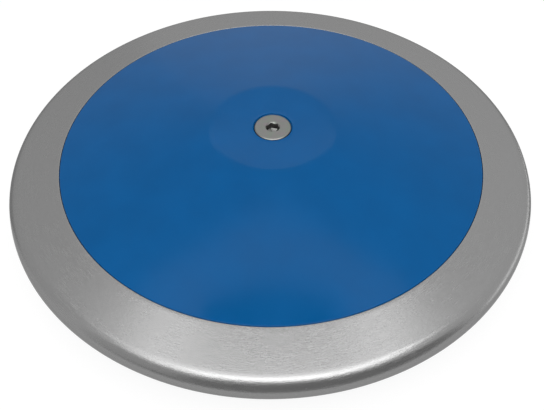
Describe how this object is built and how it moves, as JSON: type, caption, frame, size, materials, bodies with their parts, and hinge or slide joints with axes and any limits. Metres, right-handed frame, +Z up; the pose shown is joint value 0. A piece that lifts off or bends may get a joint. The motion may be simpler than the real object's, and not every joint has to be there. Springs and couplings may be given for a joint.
{
  "type": "discus",
  "caption": "Throwing discus of the two kilogram class: steel rim, moulded side plates, central spool with trim washers, countersunk screws.",
  "frame": {"origin": "centre of the lower flat, which the discus stands on", "axes": "+Z up along the disc's axis, from the lower flat to the upper flat; +X to the right in the picture, across the disc; +Y away from the viewer"},
  "size_m": [0.22, 0.22, 0.045],
  "materials": {
    "rim_steel": "fine turned and burnished, satin",
    "blue_abs": "moulded gloss",
    "screw_steel": "bright zinc plate, slightly dulled",
    "core_steel": "as turned",
    "washer_steel": "bright zinc plate"
  },
  "bodies": {
    "root": {"rim": "rim_steel", "core_spool": "core_steel", "upper_side_plate": "blue_abs", "upper_trim_washer_thick": "washer_steel", "upper_trim_washer_medium": "washer_steel", "upper_trim_washer_thin": "washer_steel", "upper_screw": "screw_steel", "lower_side_plate": "blue_abs", "lower_trim_washer_thick": "washer_steel", "lower_trim_washer_medium": "washer_steel", "lower_trim_washer_thin": "washer_steel", "lower_screw": "screw_steel"}
  },
  "joints": []
}
